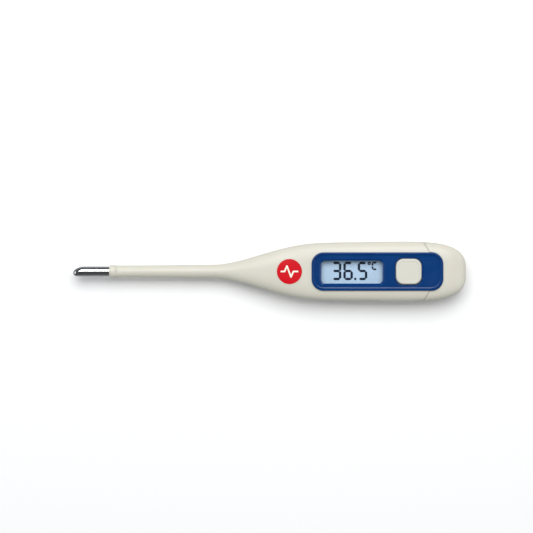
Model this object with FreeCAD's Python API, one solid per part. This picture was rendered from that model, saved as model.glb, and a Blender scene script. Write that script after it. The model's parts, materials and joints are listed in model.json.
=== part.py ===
import FreeCAD, Part
import math
import os

# Digital pen thermometer, in millimetres. +X runs from the measuring tip to the battery end, +Z is
# the normal of the display face, and the back lies on z = 0.

# Case: the plan outline, as x and half width where it changes, then a super-ellipse to the end
length = 126.0
tip_x = -length / 2
case_outline = (
    (-49.4, 1.90), (-36.0, 1.96), (-22.3, 2.10), (-15.2, 2.31), (-10.1, 3.30), (-3.6, 5.12),
    (4.1, 7.30), (11.8, 8.75), (22.0, 9.30), (34.0, 9.47), (46.0, 9.55),
)
end_x = length / 2
end_round_x = 46.0
end_exponent = 3.2
end_taper = 0.09
end_taper_growth = 1.5
end_angle = 84.0
end_steps = 10
section_count = 44
end_half_width = 9.55
half_height = 4.95
face_round_x = 54.0
face_exponent = 2.4
end_blunt = 0.1
stem_radius = 2.10
body_squareness = 4.3
axis_z = 4.83
wall = 1.2
stem_wall_share = 0.5
stem_wall_growth = 2.5
far = 80.0

# Seam between the two shells
tongue_height = 0.8
tongue_inset = 0.6
tongue_stop = 1.5
groove_width = 0.1
groove_depth = 0.15
lid_round = 8.0

# Battery cover, and the neck that it slides over
seam_edge_x = 49.0
seam_inner_x = 51.1
seam_gap = 0.15
seam_overrun = 3.0
cover_wall = 1.1
neck_inset = 1.2
neck_inner_inset = 2.0
neck_start_x = 48.5
neck_end_x = 54.5
seal_x = 52.7
seal_width = 0.9
seal_depth = 0.45
seal_clearance = 0.03
seal_side_gap = 0.05
bezel_cover_gap = 0.1

# Measuring tip and the collar that holds it
tip_radius = 1.54
tip_wall = 0.2
nose_start_x = -59.5
nose_heel_x = -61.8
nose_drop = 0.45
nose_exponent = 1.9
nose_steps = 14
nose_last = 0.985
collar_start_x = -51.4
collar_end_x = -49.2
collar_radius = 2.03
collar_edge = 0.6
tip_socket_end_x = -47.0
potting_end_x = -55.0
bead_radius = 0.62
bead_x = -61.0
bead_y = -0.1
lead_radius = 0.22
lead_gap = 0.36
lead_pad_x = 10.6
lead_pad_y = 2.4

# Bezel, window and button on the face
bezel_x = (13.44, 55.46)
bezel_width = 12.25
bezel_corner = 3.8
bezel_z = (9.4, 10.2)
bezel_edge = 0.32
tray_inset = 0.65
tray_z = 9.9
tray_slope = (0.45, 0.15)
window_x = (16.6, 36.1)
window_y = (-3.83, 3.47)
window_corner = 1.2
window_bevel = (0.5, 0.31)
window_clearance = 0.3
lens_top_z = 9.46
lens_flange = 0.85
lens_flange_z = (8.9, 9.4)
lens_gap = (0.05, 0.03)
button_x = 44.42
button_size = 8.15
button_corner = 2.5
button_gap = 0.15
button_flange = 9.4
button_flange_corner = 1.5
button_z = (7.9, 8.4, 10.6)
button_pocket = 9.8
button_pocket_corner = 1.6
button_pocket_gap = 0.1
button_edge = 0.5
button_lip = 0.7
button_dish = 0.12
button_moat = 0.7
button_moat_depth = 0.15
button_moat_cove = 0.14
button_rib = 11.4
button_rib_corner = 2.0
button_rib_z = (7.85, 8.8)
badge_x = 6.41
badge_radius = 4.0
badge_raise = 0.12
badge_depth = 0.35

# Circuit board and the frame that carries the display, the key and the cell
board_z = (4.1, 4.9)
board_x = (8.0, 49.0)
board_half = 6.4
board_tail_x = 51.9
board_tail_half = 4.2
board_corner = 1.4
board_gap = 0.1
frame_x = 13.2
frame_half = 6.6
frame_top_z = 7.4
frame_gap = 0.1
key_wall_size = 11.2
key_wall_inner = 9.6
key_wall_corner = 1.8
key_wall_join = 0.6
key_wall_clearance = 0.4
seal_pad_z = (7.5, 7.85)
seal_post_radius = 1.3
seal_post_z = 5.45
dome_radius = 3.0
dome_height = 0.45
dome_thickness = (0.15, 0.12)
cradle_x = (50.0, 60.3)
cradle_half = 5.15
cradle_z = (3.1, 6.3)
cradle_corner = 0.5
chip_x = 33.0
chip_radius = 3.4
chip_height = 1.05
capacitor_places = ((12.0, 3.0), (14.5, 3.0), (41.0, -3.4))
capacitor_size = (1.6, 0.8, 0.8)
resistor_places = ((12.0, -3.0), (14.5, -3.0), (41.0, 3.4))
resistor_size = (1.6, 0.8, 0.45)

# Display
display_x = (14.6, 38.4)
display_half = 5.9
display_rear_half = 4.2
glass_thickness = 0.55
film_thickness = 0.15
film_margin = (0.4, 0.3)
reflector_margin = (0.4, 0.2)
display_join_z = 6.55
zebra_y = (4.75, 5.75)
zebra_margin = 0.6
zebra_room = 0.4

# Cell and its contacts
cell_x = 56.0
cell_radius = 3.95
cell_z = (2.9, 6.5)
cell_can_drop = 0.25
cell_can_edge = 0.3
cell_cap_inset = 0.75
cell_cap_edge = 0.15
cell_gap = 0.1
contact_gap = 0.05
contact_thickness = 0.2
contact_width = 3.0
contact_end_x = 57.5
contact_foot_x = 50.5
contact_riser_x = 51.6
contact_slot = (0.1, 0.2)

# Sounder
sounder_x = 26.0
sounder_radius = 6.0
sounder_seat_z = 1.9
sounder_seat_floor_z = 0.6
sounder_seat_ring = (0.9, 0.6)
sounder_plate = 0.2
ceramic_radius = 4.2
sounder_lead_radius = 0.2
sounder_lead_plate_y = 5.1
sounder_lead_ceramic_at = (23.5, -2.0)


def box(x0, x1, y0, y1, z0, z1):
    return Part.makeBox(x1 - x0, y1 - y0, z1 - z0, FreeCAD.Vector(x0, y0, z0))


def between_x(x0, x1):
    """Everything between two stations along the length."""
    return box(x0, x1, -far, far, -far, far)


def cylinder(radius, x, y, z0, z1):
    return Part.makeCylinder(radius, z1 - z0, FreeCAD.Vector(x, y, z0))


def rod(radius, x0, x1):
    """A round bar along the axis of the stem."""
    return Part.makeCylinder(radius, x1 - x0, FreeCAD.Vector(x0, 0, axis_z), FreeCAD.Vector(1, 0, 0))


def rounded_box(x0, x1, y0, y1, z0, z1, corner):
    block = box(x0, x1, y0, y1, z0, z1)
    uprights = [e for e in block.Edges if abs(e.tangentAt(e.FirstParameter).z) > 0.9]
    return block.makeFillet(corner, uprights)


def square(size, corner, z0, z1):
    """A rounded square about the centre of the button."""
    half = size / 2
    return rounded_box(button_x - half, button_x + half, -half, half, z0, z1, corner)


def top_edges(solid, z):
    return [e for e in solid.Edges if abs(e.BoundBox.ZMin - z) < 1e-6 and abs(e.BoundBox.ZMax - z) < 1e-6]


def only_solid(shape):
    """The largest solid of a boolean result."""
    return max(shape.Solids, key=lambda s: s.Volume)


def squircle(x, half_y, half_z, squareness, count=32):
    """Closed super-ellipse section across the case at x."""
    points = []
    for i in range(count):
        angle = 2 * math.pi * i / count
        c, s = math.cos(angle), math.sin(angle)
        y = math.copysign(abs(c) ** (2 / squareness), c) * half_y
        z = math.copysign(abs(s) ** (2 / squareness), s) * half_z
        points.append(FreeCAD.Vector(x, y, axis_z + z))
    curve = Part.BSplineCurve()
    curve.interpolate(points, PeriodicFlag=True)
    return Part.Wire([curve.toShape()])


def plan_curve():
    """Half of the plan outline: the listed points, then the super-ellipse of the battery end."""
    points = [FreeCAD.Vector(x, half, 0) for x, half in case_outline]
    reach = (end_x - end_round_x) / math.sin(math.radians(end_angle)) ** (2 / end_exponent)
    for i in range(1, end_steps + 1):
        turn = math.radians(end_angle * i / end_steps)
        past = math.sin(turn) ** (2 / end_exponent)
        taper = 1 - end_taper * past ** end_taper_growth
        half = end_half_width * math.cos(turn) ** (2 / end_exponent) * taper
        points.append(FreeCAD.Vector(end_round_x + reach * past, half, 0))
    curve = Part.BSplineCurve()
    curve.interpolate(points)
    return curve


def section(x, half_width, inset):
    """Section of the case at x, inset by a distance that shrinks with the wall of the stem."""
    body = min(1.0, max(0.0, (half_width - stem_radius) / (end_half_width - stem_radius)))
    if x > end_round_x:
        body = 1.0
    step = inset * (stem_wall_share + (1.0 - stem_wall_share) * min(1.0, stem_wall_growth * body))
    half_z = min(half_width, stem_radius) + (half_height - stem_radius) * math.sin(math.pi / 2 * body)
    squareness = 2.0 + (body_squareness - 2.0) * body
    if x <= end_round_x:
        return squircle(x, half_width - step, half_z - step, squareness)
    scale = (end_x - inset - end_round_x) / (end_x - end_round_x)
    x = end_round_x + (x - end_round_x) * scale
    half_width *= (end_half_width - inset) / end_half_width
    half_z = half_height - inset
    if x > face_round_x:
        past = (x - face_round_x) / (end_x + end_blunt - inset - face_round_x)
        half_z *= (1 - past ** face_exponent) ** (1 / face_exponent)
    return squircle(x, half_width, half_z, squareness)


def case_form(inset=0.0):
    """The case as one solid form, offset inwards."""
    curve = plan_curve()
    points = curve.discretize(Number=section_count)
    return Part.makeLoft([section(p.x, p.y, inset) for p in points], True, False)


def beyond_seam(shift):
    """Everything on the battery side of the seam, which runs as a chevron to the bezel's edges."""
    half = bezel_width / 2 + bezel_cover_gap
    slope = (seam_edge_x - seam_inner_x) / (end_half_width - half)
    edge = end_half_width + seam_overrun
    outer_x = seam_edge_x + slope * seam_overrun
    corners = (
        (outer_x, edge), (seam_inner_x, half), (seam_inner_x, -half), (outer_x, -edge),
        (far, -edge), (far, edge), (outer_x, edge),
    )
    outline = Part.makePolygon([FreeCAD.Vector(x + shift, y, -far) for x, y in corners])
    return Part.Face(outline).extrude(FreeCAD.Vector(0, 0, 2 * far))


def bezel_block(z0, z1, gap=0.0):
    half = bezel_width / 2 + gap
    return rounded_box(bezel_x[0] - gap, bezel_x[1] + gap, -half, half, z0, z1, bezel_corner + gap)


def window_block(z0, z1, grow=0.0):
    return rounded_box(
        window_x[0] - grow, window_x[1] + grow, window_y[0] - grow, window_y[1] + grow, z0, z1,
        window_corner + max(0.0, grow / 2),
    )


def hollow_case(outer, cover_fit, cavity, neck_cavity):
    """The whole case up to the seam, with the neck that enters the cover."""
    body = outer.cut(beyond_seam(0.0))
    case = body.fuse(cover_fit.common(between_x(neck_start_x, neck_end_x)))
    case = case.cut(cavity.common(between_x(-far, neck_start_x)))
    case = case.cut(neck_cavity.common(between_x(neck_start_x - wall, far)))
    groove = case_form(neck_inset / 2).cut(case_form(neck_inset + seal_depth))
    half = seal_width / 2 + seal_side_gap
    case = case.cut(groove.common(between_x(seal_x - half, seal_x + half)))
    return case.cut(below_back())


def below_back():
    return box(-far, far, -far, far, -far, 0)


def lid_region(z0, z1):
    """Plan area of the back shell: full width, with a rounded front end."""
    return box(0, far, -far, far, z0, z1).fuse(cylinder(lid_round, 0, 0, z0, z1))


def collar():
    """Rounded collar at the end of the stem that grips the measuring tip."""
    ring = rod(collar_radius, collar_start_x, collar_end_x)
    rims = [e for e in ring.Edges if e.Curve.TypeId == "Part::GeomCircle"]
    return ring.makeFillet(collar_edge, rims)


def make_shells(outer, cover_fit, cavity, neck_cavity):
    case = hollow_case(outer, cover_fit, cavity, neck_cavity)
    parting = box(-far, seam_edge_x, -far, far, axis_z - groove_width / 2, axis_z + groove_width / 2)
    case = case.cut(parting.cut(case_form(groove_depth)).common(lid_region(-far, far)))
    tongue = case_form(tongue_inset).common(lid_region(axis_z, axis_z + tongue_height))
    tongue = tongue.common(between_x(-far, seam_edge_x - tongue_stop))
    lower = lid_region(-far, axis_z)
    back = case.common(lower).fuse(tongue.cut(cavity))
    front = case.cut(lower).cut(tongue)
    front = front.fuse(collar())
    front = front.cut(rod(tip_radius, -far, tip_socket_end_x))
    front = front.cut(bezel_block(bezel_z[0], far))
    front = front.cut(window_block(axis_z, far, window_clearance))
    front = front.cut(window_block(lens_flange_z[0], far, lens_flange))
    front = front.fuse(square(button_rib, button_rib_corner, *button_rib_z))
    pocket_top = button_z[1] + button_pocket_gap
    front = front.cut(square(button_pocket, button_pocket_corner, axis_z, pocket_top))
    seal_room = key_wall_size + key_wall_clearance
    front = front.cut(square(seal_room, button_rib_corner, axis_z, seal_pad_z[1]))
    front = front.cut(button_hole())
    front = front.cut(badge_pocket())
    inner, outer = sounder_seat_ring
    seat = cylinder(sounder_radius + outer, sounder_x, 0, sounder_seat_floor_z, sounder_seat_z)
    seat = seat.cut(cylinder(sounder_radius - inner, sounder_x, 0, 0, sounder_seat_z))
    return only_solid(front), only_solid(back.fuse(seat))


def button_hole():
    return square(button_size + 2 * button_gap, button_corner, 0, far)


def badge_column():
    return cylinder(badge_radius, badge_x, 0, axis_z, far)


def badge_pocket():
    return badge_column().cut(case_form(badge_depth))


def make_badge():
    """Round badge that follows the crown of the case and stands a little proud of it."""
    disc = case_form(-badge_raise).common(badge_column())
    return only_solid(disc.cut(case_form(badge_depth)))


def make_cover(outer):
    """Cap over the battery end, thinner where it slides under the end of the bezel."""
    cover = outer.common(beyond_seam(seam_gap)).cut(case_form(cover_wall))
    cover = cover.cut(bezel_block(bezel_z[0] - bezel_cover_gap, far, bezel_cover_gap))
    half = bezel_width / 2 + bezel_cover_gap
    start, stop = bezel_x[0], bezel_x[1] - bezel_corner
    cover = cover.cut(box(start, stop, -half, half, bezel_z[0] - bezel_cover_gap, far))
    return only_solid(cover.cut(below_back()))


def make_seal():
    ring = case_form(cover_wall + seal_clearance).cut(case_form(neck_inset + seal_depth))
    half = seal_width / 2
    return only_solid(ring.common(between_x(seal_x - half, seal_x + half)))


def make_bezel():
    """Raised rim with a sloped tray inside it, a bevelled window and a shallow moat round the button."""
    bezel = bezel_block(bezel_z[0], bezel_z[1])
    bezel = bezel.makeFillet(bezel_edge, top_edges(bezel, bezel_z[1]))
    run, rise = tray_slope
    bezel = bezel.cut(bezel_block(tray_z + rise, far, -tray_inset))
    bezel = bezel.cut(sloped(bezel_block, tray_z, rise, -tray_inset - run, -tray_inset))
    moat_z = tray_z - button_moat_depth
    moat = square(button_size + 2 * button_moat, button_corner + button_moat, moat_z, far)
    bezel = bezel.cut(moat.makeFillet(button_moat_cove, top_edges(moat, moat_z)))
    run, drop = window_bevel
    bezel = bezel.cut(sloped(window_block, tray_z - drop, drop, 0.0, run))
    bezel = bezel.cut(window_block(0, far))
    return bezel.cut(button_hole())


def sloped(block, z, rise, low_grow, high_grow):
    """A block whose sides lean out from one outline at z to another above it."""
    outlines = []
    for height, grow in ((z, low_grow), (z + rise, high_grow)):
        faces = block(height, height + wall, grow).Faces
        outlines.append(min(faces, key=lambda face: face.CenterOfMass.z).OuterWire)
    return Part.makeLoft(outlines, True, True)


def make_lens():
    """Clear window with a flange that is held between the shell and the bezel."""
    flange_gap, pane_gap = lens_gap
    flange = window_block(lens_flange_z[0], lens_flange_z[1], lens_flange - flange_gap)
    pane = window_block(lens_flange_z[0], lens_top_z, -pane_gap)
    return flange.fuse(pane)


def make_button():
    low, shoulder, high = button_z
    cap = square(button_size, button_corner, low, high)
    cap = cap.makeFillet(button_edge, top_edges(cap, high))
    floor = high - button_dish
    dish = square(button_size - 2 * button_lip, button_corner - button_lip, floor, far)
    cap = cap.cut(dish.makeFillet(button_dish, top_edges(dish, floor)))
    flange = square(button_flange, button_flange_corner, low, shoulder)
    return cap.fuse(flange)


def make_button_seal():
    """Silicone pad under the button, with the post that meets the dome."""
    pad = square(key_wall_size, key_wall_corner, seal_pad_z[0], seal_pad_z[1])
    post = cylinder(seal_post_radius, button_x, 0, seal_post_z, seal_pad_z[1])
    return pad.fuse(post)


def make_dome():
    """Thin snap dome: a spherical cap of even thickness, with its rim on the board."""
    rim, top = dome_thickness
    crown = spherical_cap(dome_radius, dome_height, board_z[1], button_x)
    hollow = spherical_cap(dome_radius - rim, dome_height - top, board_z[1], button_x)
    return crown.cut(hollow)


def spherical_cap(rim, rise, z, x):
    radius = (rim ** 2 + rise ** 2) / (2 * rise)
    ball = Part.makeSphere(radius, FreeCAD.Vector(x, 0, z + rise - radius))
    return ball.common(box(-far, far, -far, far, z, far))


def display_plate(half, z0, z1, margins=(0.0, 0.0)):
    return box(
        display_x[0] + margins[0], display_x[1] - margins[0], margins[1] - half, half - margins[1], z0, z1,
    )


def make_display():
    join = display_join_z
    high, low = join + glass_thickness, join - glass_thickness
    return {
        "display_front_film": display_plate(display_half, high, high + film_thickness, film_margin),
        "display_front_glass": display_plate(display_half, join, high),
        "display_rear_glass": display_plate(display_rear_half, low, join),
        "display_reflector": display_plate(display_rear_half, low - film_thickness, low, reflector_margin),
    }


def make_zebra(side):
    low, high = sorted((side * zebra_y[0], side * zebra_y[1]))
    start, stop = display_x[0] + zebra_margin, display_x[1] - zebra_margin
    return box(start, stop, low, high, board_z[1], display_join_z)


def make_board():
    x0, x1 = board_x
    low, high = board_z
    board = rounded_box(x0, x1, -board_half, board_half, low, high, board_corner)
    tail = box(x1 - board_corner, board_tail_x, -board_tail_half, board_tail_half, low, high)
    return board.fuse(tail).removeSplitter()


def make_frame():
    """Inner frame: the tray round the display, the wall round the key and the cradle of the cell."""
    low = board_z[1]
    gap = frame_gap
    stop = button_x - key_wall_size / 2 + key_wall_join
    frame = box(frame_x, stop, -frame_half, frame_half, low, frame_top_z)
    for half, z0 in ((display_half, display_join_z), (display_rear_half, low)):
        frame = frame.cut(display_plate(half, z0, far, (-gap, -gap)))
    start, stop = display_x[0] + zebra_room, display_x[1] - zebra_room
    for side in (1, -1):
        y0, y1 = sorted((side * (zebra_y[0] - gap), side * (zebra_y[1] + gap)))
        frame = frame.cut(box(start, stop, y0, y1, low, far))
    frame = frame.fuse(square(key_wall_size, key_wall_corner, low, seal_pad_z[0]))
    frame = frame.cut(square(key_wall_inner, board_corner, low, far))
    return frame.fuse(make_cradle()).removeSplitter()


def make_cradle():
    """Fork that holds the cell and is open towards the battery end."""
    fork = rounded_box(*cradle_x, -cradle_half, cradle_half, *cradle_z, cradle_corner)
    room = cell_radius + cell_gap
    fork = fork.cut(cylinder(room, cell_x, 0, 0, far))
    fork = fork.cut(box(cell_x, far, -room, room, 0, far))
    tail_x = board_tail_x + board_gap
    half = board_tail_half + board_gap
    fork = fork.cut(box(0, tail_x, -half, half, 0, board_z[1]))
    fork = fork.cut(box(0, tail_x, -far, far, 0, board_z[0] - contact_thickness))
    before, beside = contact_slot
    half = contact_width / 2 + beside
    return fork.cut(box(contact_foot_x - before, cell_x, -half, half, 0, far))


def make_cell():
    """Button cell: the can with a rounded foot, and the smaller cap above it."""
    low, high = cell_z
    can_top = high - cell_can_drop
    can = cylinder(cell_radius, cell_x, 0, low, can_top)
    can = can.makeFillet(cell_can_edge, top_edges(can, low) + top_edges(can, can_top))
    cap = cylinder(cell_radius - cell_cap_inset, cell_x, 0, can_top - cell_can_drop, high)
    cap = cap.makeFillet(cell_cap_edge, top_edges(cap, high))
    return can.fuse(cap)


def make_contact(foot_z, arm_z):
    """Leaf contact: a foot on the board, a riser and an arm over or under the cell."""
    t = contact_thickness
    half = contact_width / 2
    z0, z1 = min(foot_z, arm_z), max(foot_z, arm_z) + t
    foot = box(contact_foot_x, contact_riser_x + t, -half, half, foot_z, foot_z + t)
    riser = box(contact_riser_x, contact_riser_x + t, -half, half, z0, z1)
    arm = box(contact_riser_x, contact_end_x, -half, half, arm_z, arm_z + t)
    return foot.fuse([riser, arm]).removeSplitter()


def make_chip():
    """Resin cover over the processor, hung under the board."""
    cap = spherical_cap(chip_radius, chip_height, 0, chip_x)
    cap = cap.mirror(FreeCAD.Vector(0, 0, 0), FreeCAD.Vector(0, 0, 1))
    cap.translate(FreeCAD.Vector(0, 0, board_z[0]))
    return cap


def make_chips(places, size):
    """Small surface-mounted parts under the board, as separate solids of one node."""
    half_x, half_y, height = size[0] / 2, size[1] / 2, size[2]
    low, high = board_z[0] - height, board_z[0]
    return Part.makeCompound(
        [box(x - half_x, x + half_x, y - half_y, y + half_y, low, high) for x, y in places]
    )


def make_sounder():
    z0 = sounder_seat_z
    z1 = z0 + sounder_plate
    z2 = z1 + sounder_plate
    radius = sounder_lead_radius
    return {
        "sounder_plate": cylinder(sounder_radius, sounder_x, 0, z0, z1),
        "sounder_ceramic": cylinder(ceramic_radius, sounder_x, 0, z1, z2),
        "sounder_lead_plate": cylinder(radius, sounder_x, sounder_lead_plate_y, z1, board_z[0]),
        "sounder_lead_ceramic": cylinder(radius, *sounder_lead_ceramic_at, z2, board_z[0]),
    }


def nose_form(inset):
    """Closed steel tip. Its nose slopes on one side and keeps a small round heel on the other."""
    radius = tip_radius - inset
    wires = [circle_wire(tip_socket_end_x + inset, radius, 0.0), circle_wire(nose_start_x, radius, 0.0)]
    for i in range(1, nose_steps + 1):
        turn = math.pi / 2 * nose_last * i / nose_steps
        x = nose_start_x + (tip_x + inset - nose_start_x) * math.sin(turn)
        upper, lower = nose_edges(x, radius, tip_x + inset)
        wires.append(circle_wire(x, (upper - lower) / 2, (upper + lower) / 2))
    barrel = Part.makeLoft(wires[:2], True, True)
    nose = Part.makeLoft(wires[1:], True, False)
    return barrel.fuse(nose)


def nose_edges(x, radius, apex_x):
    """Upper and lower edge of the nose at x, seen from above the face."""
    u = (nose_start_x - x) / (nose_start_x - apex_x)
    upper = -nose_drop + (radius + nose_drop) * (1 - u ** nose_exponent) ** (1 / nose_exponent)
    if x >= nose_heel_x:
        return upper, -radius
    v = (nose_heel_x - x) / (nose_heel_x - apex_x)
    return upper, -nose_drop - (radius - nose_drop) * math.sqrt(1 - v ** 2)


def circle_wire(x, radius, y):
    centre = FreeCAD.Vector(x, y, axis_z)
    return Part.Wire([Part.makeCircle(radius, centre, FreeCAD.Vector(1, 0, 0))])


def make_tip():
    return only_solid(nose_form(0).cut(nose_form(tip_wall)))


def make_bead():
    return Part.makeSphere(bead_radius, FreeCAD.Vector(bead_x, bead_y, axis_z))


def make_lead(side):
    """Insulated lead from the bead through the stem to its pad on the board."""
    pad_z = board_z[1] + lead_radius
    route = (
        (bead_x, lead_gap, axis_z), (-40.0, lead_gap, axis_z), (-16.0, lead_gap, axis_z),
        (-4.0, 0.8, axis_z + 0.1), (7.2, 2.2, pad_z), (lead_pad_x, lead_pad_y, pad_z),
    )
    points = [FreeCAD.Vector(x, side * y, z) for x, y, z in route]
    curve = Part.BSplineCurve()
    curve.interpolate(points)
    path = Part.Wire([curve.toShape()])
    ring = Part.makeCircle(lead_radius, points[0], FreeCAD.Vector(1, 0, 0))
    lead = path.makePipeShell([Part.Wire([ring])], True, False)
    return only_solid(lead.cut(make_bead()))


def make_potting(bead, leads):
    """Heat-conducting filling of the nose, round the bead and the leads."""
    filling = nose_form(tip_wall).common(between_x(-far, potting_end_x))
    return only_solid(filling.cut(bead).cut(Part.makeCompound(leads)))


def build_nodes():
    outer = case_form()
    cavity = case_form(wall)
    front, back = make_shells(outer, case_form(neck_inset), cavity, case_form(neck_inner_inset))
    bead = make_bead()
    leads = [make_lead(1), make_lead(-1)]
    arm_high = cell_z[1] + contact_gap
    arm_low = cell_z[0] - contact_gap - contact_thickness
    nodes = {
        "front_shell": front,
        "back_shell": back,
        "battery_cover": make_cover(outer),
        "cover_seal": make_seal(),
        "bezel": make_bezel(),
        "window_lens": make_lens(),
        "badge": make_badge(),
        "button": make_button(),
        "button_seal": make_button_seal(),
        "snap_dome": make_dome(),
        "zebra_strip_left": make_zebra(1),
        "zebra_strip_right": make_zebra(-1),
        "circuit_board": make_board(),
        "inner_frame": make_frame(),
        "button_cell": make_cell(),
        "contact_negative": make_contact(board_z[1], arm_high),
        "contact_positive": make_contact(board_z[0] - contact_thickness, arm_low),
        "processor_cover": make_chip(),
        "chip_capacitors": make_chips(capacitor_places, capacitor_size),
        "chip_resistors": make_chips(resistor_places, resistor_size),
        "probe_tip": make_tip(),
        "thermistor_bead": bead,
        "thermistor_lead_left": leads[0],
        "thermistor_lead_right": leads[1],
        "tip_filling": make_potting(bead, leads),
    }
    nodes.update(make_display())
    nodes.update(make_sounder())
    return nodes


if __name__ == "__main__":
    os.makedirs("parts", exist_ok=True)
    for name, shape in build_nodes().items():
        shape.exportStep("parts/" + name + ".step")
        print(name, len(shape.Solids), round(shape.Volume, 2), shape.isValid())
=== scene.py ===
import json
import math
import bmesh
import bpy
from mathutils import Matrix, Vector
from mathutils.bvhtree import BVHTree

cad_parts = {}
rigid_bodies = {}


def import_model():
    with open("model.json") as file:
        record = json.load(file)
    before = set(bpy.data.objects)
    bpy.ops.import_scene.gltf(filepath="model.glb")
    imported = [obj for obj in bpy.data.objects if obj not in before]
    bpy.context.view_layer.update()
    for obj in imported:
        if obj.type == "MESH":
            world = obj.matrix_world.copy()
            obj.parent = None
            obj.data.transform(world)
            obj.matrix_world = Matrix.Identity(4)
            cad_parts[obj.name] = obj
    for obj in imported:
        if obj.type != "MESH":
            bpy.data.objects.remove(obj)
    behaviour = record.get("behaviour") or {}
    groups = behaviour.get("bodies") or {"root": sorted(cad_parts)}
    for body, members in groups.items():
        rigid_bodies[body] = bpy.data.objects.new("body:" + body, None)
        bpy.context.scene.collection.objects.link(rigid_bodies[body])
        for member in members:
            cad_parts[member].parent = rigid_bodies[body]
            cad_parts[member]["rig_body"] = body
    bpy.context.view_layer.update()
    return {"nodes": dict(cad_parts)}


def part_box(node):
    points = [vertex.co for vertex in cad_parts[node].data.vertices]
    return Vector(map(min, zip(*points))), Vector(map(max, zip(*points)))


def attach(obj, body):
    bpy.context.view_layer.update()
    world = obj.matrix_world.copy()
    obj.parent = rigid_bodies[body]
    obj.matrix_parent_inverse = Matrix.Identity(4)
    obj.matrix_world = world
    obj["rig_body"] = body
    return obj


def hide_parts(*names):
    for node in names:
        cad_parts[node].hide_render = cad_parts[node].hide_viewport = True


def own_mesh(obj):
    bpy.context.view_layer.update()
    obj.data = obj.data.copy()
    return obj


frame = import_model()
mm = 0.001
print("frame loaded:", len(frame["nodes"]), "nodes")


# Shader helpers

def newMaterial(name):
    material = bpy.data.materials.new(name)
    material.use_nodes = True
    return material, material.node_tree, material.node_tree.nodes["Principled BSDF"]


def srgb(red, green, blue):
    # screen colour, 0 to 255, as the linear value that a shader takes
    return tuple(((c / 255 + 0.055) / 1.055) ** 2.4 if c > 10 else c / 255 / 12.92
                 for c in (red, green, blue))


def scaled(colour, factor):
    return tuple(min(1.0, c * factor) for c in colour)


def setSockets(node, values):
    for name, value in values.items():
        node.inputs[name].default_value = (*value, 1) if isinstance(value, tuple) else value


def ownCoords(tree, stretch=(1, 1, 1), turn=(0, 0, 0)):
    # the piece's own coordinates in metres, stretched or turned
    coords = tree.nodes.new("ShaderNodeTexCoord")
    mapping = tree.nodes.new("ShaderNodeMapping")
    mapping.inputs["Scale"].default_value = stretch
    mapping.inputs["Rotation"].default_value = turn
    tree.links.new(coords.outputs["Object"], mapping.inputs["Vector"])
    return mapping.outputs["Vector"]


def noise(tree, perMetre, detail=3.0, stretch=(1, 1, 1), turn=(0, 0, 0)):
    node = tree.nodes.new("ShaderNodeTexNoise")
    setSockets(node, {"Scale": perMetre, "Detail": detail, "Roughness": 0.55})
    tree.links.new(ownCoords(tree, stretch, turn), node.inputs["Vector"])
    return node.outputs["Fac"]


def cells(tree, perMetre, feature="F1", output="Distance", stretch=(1, 1, 1), metric="EUCLIDEAN"):
    node = tree.nodes.new("ShaderNodeTexVoronoi")
    node.feature = feature
    if feature == "F1":
        node.distance = metric
    setSockets(node, {"Scale": perMetre})
    tree.links.new(ownCoords(tree, stretch), node.inputs["Vector"])
    return node.outputs[output]


def toRange(tree, source, low, high, start=0.3, end=0.7):
    node = tree.nodes.new("ShaderNodeMapRange")
    setSockets(node, {"From Min": start, "From Max": end, "To Min": low, "To Max": high})
    tree.links.new(source, node.inputs["Value"])
    return node.outputs["Result"]


def toColour(tree, source, low, high, start=0.3, end=0.7):
    node = tree.nodes.new("ShaderNodeValToRGB")
    first, last = node.color_ramp.elements
    first.position, last.position = start, end
    first.color, last.color = (*low, 1), (*high, 1)
    tree.links.new(source, node.inputs["Fac"])
    return node.outputs["Color"]


def mixColour(tree, factor, low, high):
    # a blend of two colours, each a socket or a plain value
    node = tree.nodes.new("ShaderNodeMix")
    node.data_type = "RGBA"
    tree.links.new(factor, node.inputs["Factor"])
    for socket, value in ((node.inputs[6], low), (node.inputs[7], high)):
        if isinstance(value, tuple):
            socket.default_value = (*value, 1)
        else:
            tree.links.new(value, socket)
    return node.outputs[2]


def addBump(tree, shader, source, strength, height, under=None):
    # height in millimetres; under is a bump that lies beneath this one
    node = tree.nodes.new("ShaderNodeBump")
    setSockets(node, {"Strength": strength, "Distance": height * mm})
    tree.links.new(source, node.inputs["Height"])
    if under:
        tree.links.new(under.outputs["Normal"], node.inputs["Normal"])
    tree.links.new(node.outputs["Normal"], shader.inputs["Normal"])
    return node


# repeats per metre
mouldedGrain = {"drift": 55, "specks": 900, "rubbed": 190, "ripple": 120, "grain": 6500}


def mouldedPlastic(name, look):
    # injection-moulded plastic: slow colour drift, rubbed patches, fine grain and a few specks
    material, tree, shader = newMaterial(name)
    colour = srgb(*look["colour"])
    drift = toColour(tree, noise(tree, mouldedGrain["drift"], 2.0),
                     scaled(colour, 1 - look["drift"]), scaled(colour, 1 + look["drift"]))
    speck = toRange(tree, cells(tree, mouldedGrain["specks"]), look["specks"], 0.0, 0.02, 0.06)
    tree.links.new(mixColour(tree, speck, drift, scaled(colour, 0.45)), shader.inputs["Base Color"])
    rubbed = noise(tree, mouldedGrain["rubbed"], 5.0, stretch=(0.35, 1, 1))
    tree.links.new(toRange(tree, rubbed, look["roughness"] - 0.05, look["roughness"] + 0.07),
                   shader.inputs["Roughness"])
    wave = addBump(tree, shader, noise(tree, mouldedGrain["ripple"], 1.0), 0.2, look["ripple"])
    addBump(tree, shader, noise(tree, mouldedGrain["grain"], 2.0), 0.3, look["grain"], wave)
    setSockets(shader, {"IOR": 1.5, "Specular IOR Level": look["shine"],
                        "Subsurface Scale": 0.8 * mm, "Subsurface Weight": look["depth"]})
    return material


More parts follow.
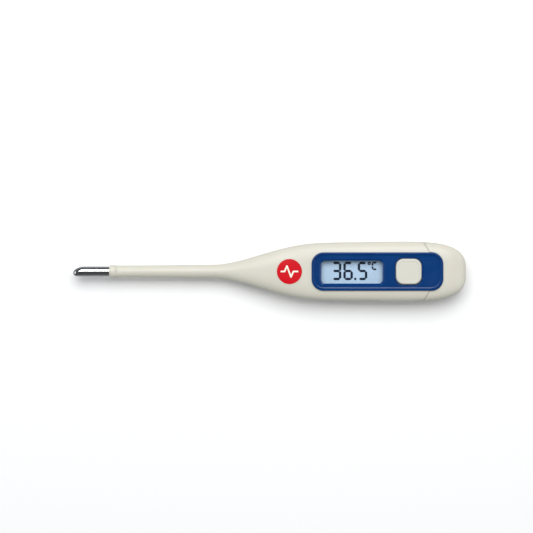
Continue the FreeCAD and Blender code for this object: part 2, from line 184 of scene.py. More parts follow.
def brushedMetal(name, look):
    # rolled or turned metal: fine lines along one direction, faint stains, soft wear
    material, tree, shader = newMaterial(name)
    colour = look["colour"]
    lines = noise(tree, look["lines"], 2.0, stretch=look["stretch"])
    stain = noise(tree, 420, 4.0)
    tree.links.new(toColour(tree, stain, scaled(colour, 0.9), colour, 0.35, 0.6),
                   shader.inputs["Base Color"])
    tree.links.new(toRange(tree, lines, look["roughness"] - 0.04, look["roughness"] + 0.06),
                   shader.inputs["Roughness"])
    addBump(tree, shader, lines, 0.12, look["depth"])
    setSockets(shader, {"Metallic": 1.0})
    return material


# Mesh helpers

def newObject(name, mesh):
    piece = bpy.data.objects.new(name, mesh)
    bpy.context.scene.collection.objects.link(piece)
    return piece


def smoothCopy(nodeName, pieceName, material, angle=32, bevel=0.0, form=None):
    # merged copy of a CAD node, smooth between its real edges
    source = frame["nodes"][nodeName]
    mesh = source.data.copy()
    mesh.name = pieceName
    shaper = bmesh.new()
    shaper.from_mesh(mesh)
    bmesh.ops.remove_doubles(shaper, verts=shaper.verts, dist=1e-7)
    bmesh.ops.dissolve_limit(shaper, angle_limit=0.001, verts=shaper.verts, edges=shaper.edges)
    shaper.to_mesh(mesh)
    shaper.free()
    mesh.materials.clear()
    mesh.materials.append(material)
    mesh.shade_smooth()
    mesh.set_sharp_from_angle(angle=math.radians(angle))
    piece = newObject(pieceName, mesh)
    if bevel:
        edge = piece.modifiers.new("edge", "BEVEL")
        edge.width = bevel * mm
        edge.segments = 2
        edge.limit_method = "ANGLE"
        edge.angle_limit = math.radians(40)
        edge.harden_normals = True
    weights = piece.modifiers.new("weights", "WEIGHTED_NORMAL")
    weights.keep_sharp = True
    if form:
        followForm(piece, form)
    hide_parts(nodeName)
    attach(piece, source["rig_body"])
    return piece


def finishNode(nodeName, material):
    # a CAD node that keeps its own mesh and only gets a finish
    slots = frame["nodes"][nodeName].material_slots
    for slot in slots:
        slot.material = material


def newTree(name, inputs):
    # geometry tree with named inputs, given as label: (socket type, default)
    tree = bpy.data.node_groups.new(name, "GeometryNodeTree")
    tree.interface.new_socket("Geometry", in_out="OUTPUT", socket_type="NodeSocketGeometry")
    for label, (kind, value) in inputs.items():
        socket = tree.interface.new_socket(label, in_out="INPUT", socket_type="NodeSocket" + kind)
        if value is not None:
            socket.default_value = value
    return tree, tree.nodes.new("NodeGroupInput"), tree.nodes.new("NodeGroupOutput")


def addNode(tree, kind, links=None, **settings):
    node = tree.nodes.new(kind)
    for name, value in settings.items():
        setattr(node, name, value)
    for socket, value in (links or {}).items():
        if isinstance(value, bpy.types.NodeSocket):
            tree.links.new(value, node.inputs[socket])
        else:
            node.inputs[socket].default_value = value
    return node


def runTree(name, tree, values):
    # evaluates the tree on an empty mesh and returns the plain mesh that it makes
    carrier = newObject(name + "Carrier", bpy.data.meshes.new(name))
    modifier = carrier.modifiers.new(name, "NODES")
    modifier.node_group = tree
    for item in tree.interface.items_tree:
        if item.in_out == "INPUT" and item.name in values:
            modifier[item.identifier] = values[item.name]
    made = carrier.evaluated_get(bpy.context.evaluated_depsgraph_get())
    mesh = bpy.data.meshes.new_from_object(made)
    bpy.data.objects.remove(carrier)
    return mesh


def surfaceOf(mesh):
    # a mesh that rays can be cast on
    return BVHTree.FromPolygons([v.co for v in mesh.vertices], [p.vertices for p in mesh.polygons])


def joined(name, parts, material):
    # one mesh from several, each with its own place
    shaper = bmesh.new()
    for mesh, place in parts:
        mesh.transform(place)
        shaper.from_mesh(mesh)
    mesh = bpy.data.meshes.new(name)
    shaper.to_mesh(mesh)
    shaper.free()
    mesh.materials.clear()
    mesh.materials.append(material)
    return mesh


# Case: front and back shells and the battery cover

# millimetres; skin and agree say how near a face lies to the smooth form before it follows it
caseForm = {"axisHeight": 4.83, "halfHeight": 4.95, "halfWidth": 9.55, "stem": 2.10,
            "squareness": 4.3, "endStart": 46.0, "roundStart": 54.0, "roundPower": 2.4, "end": 63.1,
            "reach": (-45.0, 60.5), "skin": 0.06, "agree": 0.9, "step": 0.05}
caseLook = {"colour": (210, 207, 194), "drift": 0.012, "specks": 0.12, "roughness": 0.36,
            "ripple": 0.02, "grain": 0.0035, "depth": 0.06, "shine": 0.5}


def caseWidths():
    # half width of the case every half millimetre, measured on the shells
    skins = [surfaceOf(frame["nodes"][name].data)
             for name in ("front_shell", "back_shell", "battery_cover")]
    height = (caseForm["axisHeight"] + 0.15) * mm
    widths = []
    first, last = caseForm["reach"]
    for i in range(int((last - first + 2) * 2)):
        x = first - 1 + i / 2
        start = Vector((x * mm, -0.02, height))
        hits = [skin.ray_cast(start, Vector((0, 1, 0)))[0] for skin in skins]
        hits = [-hit.y / mm for hit in hits if hit]
        widths.append(max(hits, default=0.0))
    smooth = list(widths)
    for i in range(2, len(widths) - 2):
        smooth[i] = sum(widths[i - 2:i + 3]) / 5
    return smooth


def caseSkin(widths, x, y, z):
    # about 0 on the case's outer surface, less inside it
    place = (x - caseForm["reach"][0] + 1) * 2
    i = min(len(widths) - 2, max(0, int(place)))
    width = widths[i] + (widths[i + 1] - widths[i]) * (place - i)
    stem, full = caseForm["stem"], caseForm["halfHeight"]
    body = min(1.0, max(0.0, (width - stem) / (caseForm["halfWidth"] - stem)))
    if x > caseForm["endStart"]:
        body = 1.0
    height = min(width, stem) + (full - stem) * math.sin(math.pi / 2 * body)
    if x > caseForm["roundStart"]:
        past = (x - caseForm["roundStart"]) / (caseForm["end"] - caseForm["roundStart"])
        height = full * (1 - past ** caseForm["roundPower"]) ** (1 / caseForm["roundPower"])
    power = 2.0 + (caseForm["squareness"] - 2.0) * body
    level = abs(y / width) ** power + abs((z - caseForm["axisHeight"]) / height) ** power
    return (level ** (1 / power) - 1) * min(width, height)


def followForm(piece, widths):
    # outer faces shade as the smooth form of the case, all others as their own faces
    made = piece.evaluated_get(bpy.context.evaluated_depsgraph_get())
    mesh = bpy.data.meshes.new_from_object(made)
    mesh.name = piece.name
    normals = [corner.vector.copy() for corner in mesh.corner_normals]
    known = {}
    first, last = caseForm["reach"]
    step = caseForm["step"]

    def rise(x, y, z, dx, dy, dz):
        return caseSkin(widths, x + dx, y + dy, z + dz) - caseSkin(widths, x - dx, y - dy, z - dz)

    for face in mesh.polygons:
        for loop in face.loop_indices:
            index = mesh.loops[loop].vertex_index
            if index not in known:
                x, y, z = (c / mm for c in mesh.vertices[index].co)
                known[index] = None
                inReach = first < x < last and z > 0.001   # the flat of the back stays flat
                if inReach and abs(caseSkin(widths, x, y, z)) < caseForm["skin"]:
                    slope = Vector((rise(x, y, z, step * 4, 0, 0) / 4, rise(x, y, z, 0, step, 0),
                                    rise(x, y, z, 0, 0, step)))
                    known[index] = slope.normalized()
            if known[index] and known[index].dot(face.normal) > caseForm["agree"]:
                normals[loop] = known[index]
    mesh.normals_split_custom_set(normals)
    piece.modifiers.clear()
    piece.data = mesh


def makeCase():
    material = mouldedPlastic("casePlastic", caseLook)
    widths = caseWidths()
    smoothCopy("front_shell", "caseFront", material, form=widths)
    smoothCopy("back_shell", "caseBack", material, form=widths)
    smoothCopy("battery_cover", "coverCap", material, form=widths)


# Bezel: dark blue, polished, with hairline wear

bezelLook = {"colour": (0, 56, 116), "deep": (0, 50, 108), "roughness": 0.14, "scratch": 0.08,
             "hairlines": 1500, "ripple": 0.01, "shine": 0.45}


def makeBezel():
    material, tree, shader = newMaterial("bezelGloss")
    drift = noise(tree, 90, 3.0)
    tree.links.new(toColour(tree, drift, srgb(*bezelLook["deep"]), srgb(*bezelLook["colour"])),
                   shader.inputs["Base Color"])
    hair = noise(tree, bezelLook["hairlines"], 3.0, stretch=(0.06, 1.6, 1), turn=(0, 0, 0.5))
    low = bezelLook["roughness"]
    tree.links.new(toRange(tree, hair, low, low + bezelLook["scratch"], 0.5, 0.72),
                   shader.inputs["Roughness"])
    addBump(tree, shader, noise(tree, 420, 1.0), 0.12, bezelLook["ripple"])
    setSockets(shader, {"IOR": 1.49, "Specular IOR Level": bezelLook["shine"]})
    smoothCopy("bezel", "bezelFrame", material)


# Window: clear, with faint handling marks that only its gloss shows

windowLook = {"tint": (0.955, 0.98, 0.995), "mirror": 0.022, "steepMirror": 0.7, "falloff": 5.0,
              "roughness": 0.02, "haze": 0.05}


def makeWindow():
    material, tree, shader = newMaterial("windowClear")
    tree.nodes.remove(shader)
    clear = tree.nodes.new("ShaderNodeBsdfTransparent")
    setSockets(clear, {"Color": windowLook["tint"]})
    gloss = tree.nodes.new("ShaderNodeBsdfGlossy")
    marks = noise(tree, 350, 4.0)
    low = windowLook["roughness"]
    tree.links.new(toRange(tree, marks, low, low + windowLook["haze"]), gloss.inputs["Roughness"])
    tree.links.new(toColour(tree, marks, (0.85, 0.85, 0.85), (0.95, 0.95, 0.95)),
                   gloss.inputs["Color"])
    facing = tree.nodes.new("ShaderNodeLayerWeight")   # the same on both sides of the pane
    steep = tree.nodes.new("ShaderNodeMath")
    steep.operation = "POWER"
    steep.inputs[1].default_value = windowLook["falloff"]
    tree.links.new(facing.outputs["Facing"], steep.inputs[0])
    mix = tree.nodes.new("ShaderNodeMixShader")
    tree.links.new(toRange(tree, steep.outputs[0], windowLook["mirror"], windowLook["steepMirror"],
                           0.0, 1.0), mix.inputs["Fac"])
    tree.links.new(clear.outputs["BSDF"], mix.inputs[1])
    tree.links.new(gloss.outputs["BSDF"], mix.inputs[2])
    tree.links.new(mix.outputs["Shader"], tree.nodes["Material Output"].inputs["Surface"])
    smoothCopy("window_lens", "windowPane", material)


# Key: off-white cap with a raised lip

keyLook = {"colour": (209, 207, 196), "drift": 0.012, "specks": 0.06, "roughness": 0.4,
           "ripple": 0.008, "grain": 0.003, "depth": 0.06, "shine": 0.5}


def makeKey():
    smoothCopy("button", "keyCap", mouldedPlastic("keyPlastic", keyLook))


# Badge: red disc with a white pulse line

badgeLook = {"colour": (204, 6, 26), "drift": 0.05, "specks": 0.0, "roughness": 0.36,
             "ripple": 0.01, "grain": 0.001, "depth": 0.0, "shine": 0.15}
markLook = {"colour": (246, 240, 226), "drift": 0.02, "specks": 0.0, "roughness": 0.35,
            "ripple": 0.004, "grain": 0.002, "depth": 0.0, "shine": 0.4}
markShape = {"line": 0.27, "rise": 0.05, "steps": 8,
             "pulse": ((-2.6, 0.0), (-1.55, 0.0), (-0.8, 1.75), (0.5, -1.75), (1.25, 0.0),
                       (2.6, 0.0))}


def strokeMesh(name, points, radius):
    # round-ended line through flat points
    curve = bpy.data.curves.new(name, "CURVE")
    curve.dimensions = "3D"
    curve.bevel_depth = radius
    curve.bevel_resolution = 4
    curve.use_fill_caps = True
    spline = curve.splines.new("POLY")
    spline.points.add(len(points) - 1)
    for point, (x, y) in zip(spline.points, points):
        point.co = (x, y, 0, 1)
    holder = bpy.data.objects.new(name, curve)
    mesh = bpy.data.meshes.new_from_object(holder)
    bpy.data.objects.remove(holder)
    return mesh


def makeBadge():
    disc = smoothCopy("badge", "badgeDisc", mouldedPlastic("badgeRed", badgeLook))
    low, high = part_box("badge")
    centre = (Vector(low) + Vector(high)) / 2
    white = mouldedPlastic("badgeWhite", markLook)
    line, steps = markShape["line"] * mm, markShape["steps"]
    corners = [Vector((centre.x + x * mm, centre.y + y * mm)) for x, y in markShape["pulse"]]
    shaper = bmesh.new()
    for near, far in zip(corners, corners[1:]):
        points = [near.lerp(far, i / steps) for i in range(steps + 1)]
        shaper.from_mesh(strokeMesh("markStroke", points, line))
    for corner in corners:
        bmesh.ops.create_uvsphere(shaper, u_segments=16, v_segments=8, radius=line,
                                  matrix=Matrix.Translation((*corner, 0)))
    surface = surfaceOf(disc.data)
    for vertex in shaper.verts:   # the line lies on the crown of the badge
        hit = surface.ray_cast(Vector((vertex.co.x, vertex.co.y, 0.05)), Vector((0, 0, -1)))[0]
        lift = vertex.co.z / line * markShape["rise"] * mm
        vertex.co.z = hit.z + lift
    mesh = bpy.data.meshes.new("badgeMark")
    shaper.to_mesh(mesh)
    shaper.free()
    mesh.materials.append(white)
    mesh.shade_smooth()
    mark = newObject("badgeMark", mesh)
    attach(mark, "case")


# Tip: drawn steel, polished round its axis

tipLook = {"colour": (0.86, 0.87, 0.88), "lines": 900, "stretch": (4, 0.15, 0.15), "roughness": 0.1,
           "depth": 0.0015}


def makeTip():
    smoothCopy("probe_tip", "tipSleeve", brushedMetal("tipSteel", tipLook), angle=50)


# Display: the film over the glass, and the dark figures on it

filmLook = {"colour": (203, 220, 238), "dim": (193, 212, 232)}
figureLook = {"colour": (2, 22, 46), "edge": (6, 34, 60)}
# millimetres from the lower left corner of the window
figures = {"text": ("3", "6", "5"), "left": (3.4, 7.1, 11.7), "base": 1.05, "height": 5.9,
           "width": 3.05, "stroke": 0.78, "gap": 0.04, "thick": 0.03, "margin": 0.8,
           "pointLeft": 10.5, "pointSize": 0.8, "degreeLeft": 14.85, "degreeSize": 1.05,
           "unitLeft": 16.15, "unitHeight": 2.7, "unitWidth": 1.9, "unitStroke": 0.56}
segmentNames = ("top", "middle", "bottom", "upperLeft", "upperRight", "lowerLeft", "lowerRight")
litSegments = {
    "3": ("top", "middle", "bottom", "upperRight", "lowerRight"),
    "6": ("top", "middle", "bottom", "upperLeft", "lowerLeft", "lowerRight"),
    "5": ("top", "middle", "bottom", "upperLeft", "lowerRight"),
    "C": ("top", "bottom", "upperLeft", "lowerLeft"),
}


def maths(tree, operation, first, second=0.0):
    return addNode(tree, "ShaderNodeMath", {0: first, 1: second}, operation=operation).outputs[0]


def vector(tree, x, y, z=0.0):
    return addNode(tree, "ShaderNodeCombineXYZ", {0: x, 1: y, 2: z}).outputs[0]


def segmentTree():
    # a seven-segment figure: a pointed bar for each lit segment
    inputs = {"Height": ("Float", 1.0), "Width": ("Float", 0.5), "Stroke": ("Float", 0.1),
              "Gap": ("Float", 0.01), "Thickness": ("Float", 0.01), "Material": ("Material", None)}
    inputs.update({name: ("Bool", False) for name in segmentNames})
    tree, given, result = newTree("segmentFigure", inputs)
    stroke = given.outputs["Stroke"]
    halfStroke = maths(tree, "MULTIPLY", stroke, 0.5)
    across = maths(tree, "SUBTRACT", given.outputs["Width"], stroke)
    upright = maths(tree, "MULTIPLY", maths(tree, "SUBTRACT", given.outputs["Height"], stroke), 0.5)

    def bar(length):
        # a short hexagon whose two ends are drawn apart to the wanted length
        hexagon = addNode(tree, "GeometryNodeMeshCylinder",
                          {"Vertices": 6, "Radius": 1.0, "Depth": given.outputs["Thickness"]})
        place = addNode(tree, "GeometryNodeInputPosition")
        axes = addNode(tree, "ShaderNodeSeparateXYZ", {0: place.outputs[0]})
        reach = maths(tree, "SUBTRACT", maths(tree, "MULTIPLY", length, 0.5), halfStroke)
        reach = maths(tree, "SUBTRACT", reach, given.outputs["Gap"])
        pointed = maths(tree, "SUBTRACT", maths(tree, "ABSOLUTE", axes.outputs[0]), 0.5)
        endX = maths(tree, "ADD", reach, maths(tree, "MULTIPLY", pointed, stroke))
        x = maths(tree, "MULTIPLY", maths(tree, "SIGN", axes.outputs[0]), endX)
        cornerRadius = maths(tree, "MULTIPLY", halfStroke, 1 / math.cos(math.pi / 6))
        y = maths(tree, "MULTIPLY", axes.outputs[1], cornerRadius)
        moved = addNode(tree, "GeometryNodeSetPosition", {
            "Geometry": hexagon.outputs["Mesh"], "Position": vector(tree, x, y, axes.outputs[2])})
        return moved.outputs[0]

    acrossBar, uprightBar = bar(across), bar(upright)
    join = addNode(tree, "GeometryNodeJoinGeometry")
    left, right = halfStroke, maths(tree, "SUBTRACT", given.outputs["Width"], halfStroke)
    middleX = maths(tree, "MULTIPLY", given.outputs["Width"], 0.5)
    middleY = maths(tree, "MULTIPLY", given.outputs["Height"], 0.5)
    halfUpright = maths(tree, "MULTIPLY", upright, 0.5)
    topY = maths(tree, "SUBTRACT", given.outputs["Height"], halfStroke)
    highY = maths(tree, "ADD", middleY, halfUpright)
    lowY = maths(tree, "SUBTRACT", middleY, halfUpright)
    places = {"top": (middleX, topY), "middle": (middleX, middleY), "bottom": (middleX, halfStroke),
              "upperLeft": (left, highY), "upperRight": (right, highY),
              "lowerLeft": (left, lowY), "lowerRight": (right, lowY)}
    for name in segmentNames:
        isUpright = "Left" in name or "Right" in name
        placed = addNode(tree, "GeometryNodeTransform", {
            "Geometry": uprightBar if isUpright else acrossBar,
            "Translation": vector(tree, *places[name]),
            "Rotation": (0, 0, math.pi / 2 if isUpright else 0)})
        lit = addNode(tree, "GeometryNodeSwitch",
                      {"Switch": given.outputs[name], "True": placed.outputs[0]},
                      input_type="GEOMETRY")
        tree.links.new(lit.outputs[0], join.inputs[0])
    whole = addNode(tree, "GeometryNodeRealizeInstances", {0: join.outputs[0]})
    painted = addNode(tree, "GeometryNodeSetMaterial", {
        "Geometry": whole.outputs[0], "Material": given.outputs["Material"]})
    tree.links.new(painted.outputs[0], result.inputs[0])
    return tree


def flatRing(name, outer, line, thick, sides=24):
    # flat ring about the origin
    shaper = bmesh.new()
    loops = []
    for radius, z in ((outer, 0), (outer, thick), (outer - line, thick), (outer - line, 0)):
        turns = [math.tau * i / sides for i in range(sides)]
        loops.append([shaper.verts.new((radius * math.cos(turn), radius * math.sin(turn), z))
                      for turn in turns])
    for k in range(4):
        near, far = loops[k], loops[(k + 1) % 4]
        for i in range(sides):
            j = (i + 1) % sides
            shaper.faces.new((near[i], near[j], far[j], far[i]))
    bmesh.ops.recalc_face_normals(shaper, faces=shaper.faces)
    mesh = bpy.data.meshes.new(name)
    shaper.to_mesh(mesh)
    shaper.free()
    return mesh


def makeDisplay():
    film, tree, shader = newMaterial("displayFilm")
    grain = noise(tree, 2600, 2.0, stretch=(1, 0.25, 1), turn=(0, 0, math.pi / 4))
    tree.links.new(toColour(tree, grain, srgb(*filmLook["dim"]), srgb(*filmLook["colour"])),
                   shader.inputs["Base Color"])
    tree.links.new(toRange(tree, noise(tree, 500, 2.0), 0.3, 0.4), shader.inputs["Roughness"])
    addBump(tree, shader, grain, 0.1, 0.002)
    finishNode("display_front_film", film)

    ink, tree, shader = newMaterial("displayInk")
    blot = noise(tree, 1800, 2.0)
    tree.links.new(toColour(tree, blot, srgb(*figureLook["colour"]), srgb(*figureLook["edge"])),
                   shader.inputs["Base Color"])
    setSockets(shader, {"Roughness": 0.5, "Specular IOR Level": 0.2})
    low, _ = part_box("window_lens")
    _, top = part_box("display_front_film")
    left, base = low[0] + figures["margin"] * mm, low[1] + figures["margin"] * mm
    f = {key: value * mm for key, value in figures.items() if isinstance(value, float)}
    tree = segmentTree()
    z = top[2] + f["thick"] * 0.6

    def figure(sign, x, y, height, width, stroke):
        values = {"Height": height, "Width": width, "Stroke": stroke, "Gap": f["gap"],
                  "Thickness": f["thick"], "Material": ink}
        values.update({name: name in litSegments[sign] for name in segmentNames})
        return runTree("figure" + sign, tree, values), Matrix.Translation((x, y, z))

    parts = [figure(sign, left + x * mm, base + f["base"], f["height"], f["width"], f["stroke"])
             for sign, x in zip(figures["text"], figures["left"])]
    capLine = base + f["base"] + f["height"]
    parts.append(figure("C", left + f["unitLeft"], capLine - f["unitHeight"], f["unitHeight"],
                        f["unitWidth"], f["unitStroke"]))
    bottom = z - f["thick"] / 2
    radius = f["degreeSize"] / 2
    place = Matrix.Translation((left + f["degreeLeft"] + radius, capLine - radius, bottom))
    parts.append((flatRing("degree", radius, radius * 0.72, f["thick"]), place))
    radius = f["pointSize"] / 2
    place = Matrix.Translation((left + f["pointLeft"] + radius, base + f["base"] + radius, bottom))
    parts.append((flatRing("point", radius, radius * 0.999, f["thick"]), place))
    piece = newObject("displayFigures", joined("displayFigures", parts, ink))
    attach(piece, "case")


# Inner frame, button cell and its contacts

frameLook = {"colour": (208, 208, 200), "drift": 0.03, "specks": 0.1, "roughness": 0.5,
             "ripple": 0.02, "grain": 0.006, "depth": 0.05, "shine": 0.45}
cellLook = {"colour": (0.72, 0.72, 0.71), "lines": 1400, "stretch": (0.2, 2, 2), "roughness": 0.24,
            "depth": 0.002}
contactLook = {"colour": (0.78, 0.66, 0.42), "lines": 1200, "stretch": (0.15, 2, 2),
               "roughness": 0.26, "depth": 0.002, "edge": 0.03}


def makeCell():
    smoothCopy("inner_frame", "cellFrame", mouldedPlastic("frameWhite", frameLook))
    smoothCopy("button_cell", "cellCan", brushedMetal("cellSteel", cellLook))
    bronze = brushedMetal("contactBronze", contactLook)
    smoothCopy("contact_negative", "contactUpper", bronze, bevel=contactLook["edge"])
    smoothCopy("contact_positive", "contactLower", bronze, bevel=contactLook["edge"])


# Soft pieces: the key's silicone pad and the cover's seal

padLook = {"colour": (196, 198, 196), "drift": 0.03, "specks": 0.0, "roughness": 0.55,
           "ripple": 0.01, "grain": 0.004, "depth": 0.3, "shine": 0.4, "travel": 0.4}
sealLook = {"colour": (46, 47, 50), "drift": 0.06, "specks": 0.0, "roughness": 0.62,
            "ripple": 0.01, "grain": 0.006, "depth": 0.0, "shine": 0.4}


def makeSeals():
    smoothCopy("cover_seal", "coverSeal", mouldedPlastic("sealRubber", sealLook))
    seal = smoothCopy("button_seal", "keySeal", mouldedPlastic("keySilicone", padLook))
    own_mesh(seal)


# Snap dome under the key, and the sounder's brass plate

domeLook = {"colour": (0.76, 0.75, 0.73), "lines": 1600, "stretch": (1, 1, 0.1), "roughness": 0.2,
            "depth": 0.001}
sounderLook = {"colour": (0.80, 0.62, 0.30), "lines": 900, "stretch": (0.1, 2, 2),
               "roughness": 0.28, "depth": 0.002}


def makeSprings():
    smoothCopy("snap_dome", "keyDome", brushedMetal("domeSteel", domeLook), angle=60)
    smoothCopy("sounder_plate", "sounderPlate", brushedMetal("soundBrass", sounderLook))


# Circuit board and what is soldered, poured or laid on it

# name, colour, roughness
ceramics = {"sounder_ceramic": ("sounderSilver", (206, 202, 190), 0.45),
            "chip_capacitors": ("capacitorTan", (176, 152, 118), 0.5),
            "chip_resistors": ("resistorBlack", (44, 44, 48), 0.4),
            "thermistor_bead": ("beadGlaze", (70, 52, 44), 0.2)}
resins = {"processor_cover": ("resinBlack", (20, 20, 22), 0.3),
          "tip_filling": ("resinCream", (214, 208, 186), 0.45)}
boardLook = {"mask": (14, 84, 48), "copper": (30, 116, 70), "tin": (196, 192, 180), "runs": 520,
             "pads": 420, "relief": 0.02}
leads = {"thermistor_lead_left": (176, 38, 34), "thermistor_lead_right": (40, 42, 48),
         "sounder_lead_plate": (40, 42, 48), "sounder_lead_ceramic": (176, 38, 34)}


def firedCeramic(name, colour, roughness):
    material, tree, shader = newMaterial(name)
    grain = noise(tree, 3000, 4.0)
    tree.links.new(toColour(tree, grain, scaled(colour, 0.85), scaled(colour, 1.08)),
                   shader.inputs["Base Color"])
    tree.links.new(toRange(tree, grain, roughness - 0.06, roughness + 0.1),
                   shader.inputs["Roughness"])
    addBump(tree, shader, grain, 0.3, 0.006)
    return material


def pouredResin(name, colour, roughness):
    material, tree, shader = newMaterial(name)
    flow = noise(tree, 700, 2.0)
    tree.links.new(toColour(tree, flow, scaled(colour, 0.8), scaled(colour, 1.15)),
                   shader.inputs["Base Color"])
    tree.links.new(toRange(tree, flow, roughness - 0.08, roughness + 0.12),
                   shader.inputs["Roughness"])
    addBump(tree, shader, flow, 0.4, 0.03)
    return material


def boardLaminate():
    # green solder mask over copper runs, with square tinned pads
    material, tree, shader = newMaterial("boardMask")
    runs = cells(tree, boardLook["runs"], "DISTANCE_TO_EDGE")
    pads = cells(tree, boardLook["pads"], metric="CHEBYCHEV")
    onCopper = toRange(tree, runs, 1.0, 0.0, 0.06, 0.1)
    mask = mixColour(tree, onCopper, srgb(*boardLook["mask"]), srgb(*boardLook["copper"]))
    tinned = toRange(tree, pads, 1.0, 0.0, 0.16, 0.18)
    tree.links.new(mixColour(tree, tinned, mask, srgb(*boardLook["tin"])),
                   shader.inputs["Base Color"])
    tree.links.new(toRange(tree, noise(tree, 900), 0.28, 0.4), shader.inputs["Roughness"])
    tree.links.new(tinned, shader.inputs["Metallic"])
    addBump(tree, shader, runs, 0.3, boardLook["relief"])
    return material


def leadSleeve(name, colour):
    material, tree, shader = newMaterial(name + "Sleeve")
    tree.links.new(toColour(tree, noise(tree, 800), scaled(colour, 0.8), scaled(colour, 1.15)),
                   shader.inputs["Base Color"])
    tree.links.new(toRange(tree, noise(tree, 2400), 0.32, 0.45), shader.inputs["Roughness"])
    return material


def makeBoard():
    finishNode("circuit_board", boardLaminate())
    for nodeName, (name, colour, roughness) in ceramics.items():
        finishNode(nodeName, firedCeramic(name, srgb(*colour), roughness))
    for nodeName, (name, colour, roughness) in resins.items():
        finishNode(nodeName, pouredResin(name, srgb(*colour), roughness))
    for nodeName, colour in leads.items():
        sleeve = leadSleeve(nodeName, srgb(*colour))
        smoothCopy(nodeName, nodeName.replace("_", ""), sleeve, angle=60)


# Display stack: two glasses, a reflector and the layered rubber connectors

stackLook = {"glass": (0.80, 0.88, 0.90), "glassPale": (0.86, 0.93, 0.94),
             "foil": (0.60, 0.63, 0.66), "foilPale": (0.74, 0.77, 0.79),
             "conductor": (34, 34, 38), "insulator": (150, 150, 148), "layers": 1600.0}


def displayGlass():
    material, tree, shader = newMaterial("displayGlass")
    tree.links.new(toColour(tree, noise(tree, 300), stackLook["glass"], stackLook["glassPale"]),
                   shader.inputs["Base Color"])
    tree.links.new(toRange(tree, noise(tree, 900), 0.02, 0.06), shader.inputs["Roughness"])
    setSockets(shader, {"Transmission Weight": 1.0, "IOR": 1.5})
    return material


def reflectorFoil():
    material, tree, shader = newMaterial("reflectorFoil")
    grain = noise(tree, 5200, 2.0)
    tree.links.new(toColour(tree, grain, stackLook["foil"], stackLook["foilPale"]),
                   shader.inputs["Base Color"])
    tree.links.new(toRange(tree, grain, 0.3, 0.45), shader.inputs["Roughness"])
    setSockets(shader, {"Metallic": 0.8})
    return material


def layeredRubber():
    # thin conducting layers along the strip
    material, tree, shader = newMaterial("zebraRubber")
    wave = tree.nodes.new("ShaderNodeTexWave")
    setSockets(wave, {"Scale": stackLook["layers"], "Distortion": 0.3, "Detail": 1.0})
    tree.links.new(ownCoords(tree), wave.inputs["Vector"])
    layers = toColour(tree, wave.outputs["Fac"], srgb(*stackLook["conductor"]),
                      srgb(*stackLook["insulator"]), 0.45, 0.55)
    tree.links.new(layers, shader.inputs["Base Color"])
    tree.links.new(toRange(tree, noise(tree, 1500), 0.55, 0.7), shader.inputs["Roughness"])
    return material


def makeStack():
    glass, rubber = displayGlass(), layeredRubber()
    for nodeName, material in (("display_front_glass", glass), ("display_rear_glass", glass),
                               ("display_reflector", reflectorFoil()),
                               ("zebra_strip_left", rubber), ("zebra_strip_right", rubber)):
        finishNode(nodeName, material)


# Studio: pale floor, one large soft box overhead, one on each side, a dim fill

# box lights: name, size, place, power in watts, tilt in degrees
studio = {"floor": (0.95, 0.95, 0.95), "floorDarkInReflections": (0.22, 0.23, 0.24), "floorHalf": 3.0,
          "boxes": (("overhead", (0.9, 0.8), (0.0, 0.51, 0.8), 9.6, 0),
                    ("sideRight", (0.7, 1.2), (1.3, 0.0, 0.5), 3.0, 68),
                    ("sideLeft", (0.7, 1.2), (-1.3, 0.0, 0.5), 3.0, -68)),
          "fill": (0.95, 0.98, 1.0), "fillStrength": 0.33, "mirrored": 0.07, "backdrop": 1.0,
          "lens": 135, "cameraPlace": (-0.9, 1.6, 647.0)}


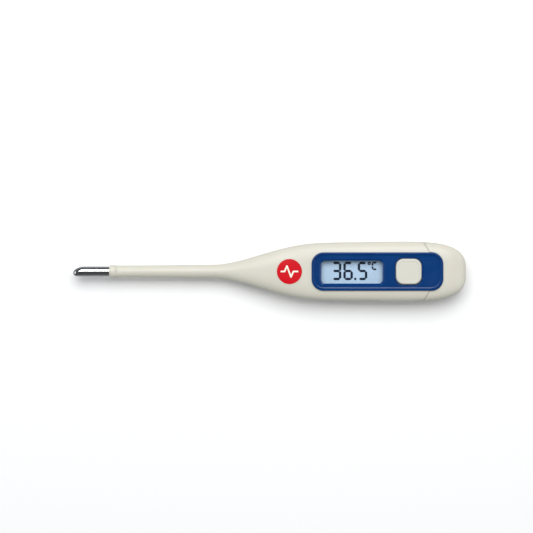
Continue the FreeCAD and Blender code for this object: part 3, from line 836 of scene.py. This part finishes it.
def makeStudio():
    scene = bpy.context.scene
    scene.view_settings.view_transform = "Standard"
    camera = bpy.data.objects.new("camera", bpy.data.cameras.new("camera"))
    scene.collection.objects.link(camera)
    camera.data.lens = studio["lens"]
    camera.data.sensor_width = 36
    camera.data.clip_start = 0.01
    camera.location = tuple(c * mm for c in studio["cameraPlace"])
    scene.camera = camera

    half = studio["floorHalf"]
    ground = bpy.data.meshes.new("floor")
    ground.from_pydata([(-half, -half, 0), (half, -half, 0), (half, half, 0), (-half, half, 0)], [],
                       [(0, 1, 2, 3)])
    floor = newObject("floor", ground)
    paper, tree, shader = newMaterial("floorPaper")
    setSockets(shader, {"Roughness": 0.9, "Specular IOR Level": 0.1})
    seen = tree.nodes.new("ShaderNodeLightPath")
    # painted reflection: the floor takes a darker colour only in reflections, standing in for dim
    # surroundings
    shade = mixColour(tree, seen.outputs["Is Glossy Ray"], studio["floor"], studio["floorDarkInReflections"])
    tree.links.new(shade, shader.inputs["Base Color"])
    ground.materials.append(paper)

    for name, size, place, power, tilt in studio["boxes"]:
        light = bpy.data.objects.new(name, bpy.data.lights.new(name, "AREA"))
        light.data.shape = "RECTANGLE"
        light.data.size, light.data.size_y = size
        light.data.energy = power
        light.location = place
        light.rotation_euler.y = math.radians(tilt)
        scene.collection.objects.link(light)

    world = bpy.data.worlds.new("world")
    scene.world = world
    world.use_nodes = True
    tree = world.node_tree
    path = tree.nodes.new("ShaderNodeLightPath")
    shown = tree.nodes["Background"]
    setSockets(shown, {"Color": studio["fill"], "Strength": studio["fillStrength"]})
    for ray, colour, strength in (("Is Glossy Ray", studio["fill"], studio["mirrored"]),
                                  ("Is Camera Ray", (1.0, 1.0, 1.0), studio["backdrop"])):
        other = tree.nodes.new("ShaderNodeBackground")
        setSockets(other, {"Color": colour, "Strength": strength})
        mix = tree.nodes.new("ShaderNodeMixShader")
        tree.links.new(path.outputs[ray], mix.inputs["Fac"])
        tree.links.new(shown.outputs[0], mix.inputs[1])
        tree.links.new(other.outputs[0], mix.inputs[2])
        shown = mix
    tree.links.new(shown.outputs[0], tree.nodes["World Output"].inputs["Surface"])


for stage, make in (("studio", makeStudio), ("case", makeCase), ("bezel", makeBezel),
                    ("window", makeWindow), ("key", makeKey), ("badge", makeBadge),
                    ("tip", makeTip), ("display", makeDisplay), ("cell and frame", makeCell),
                    ("seals", makeSeals), ("dome and sounder", makeSprings),
                    ("board and leads", makeBoard), ("display stack", makeStack)):
    make()
    print("made:", stage)
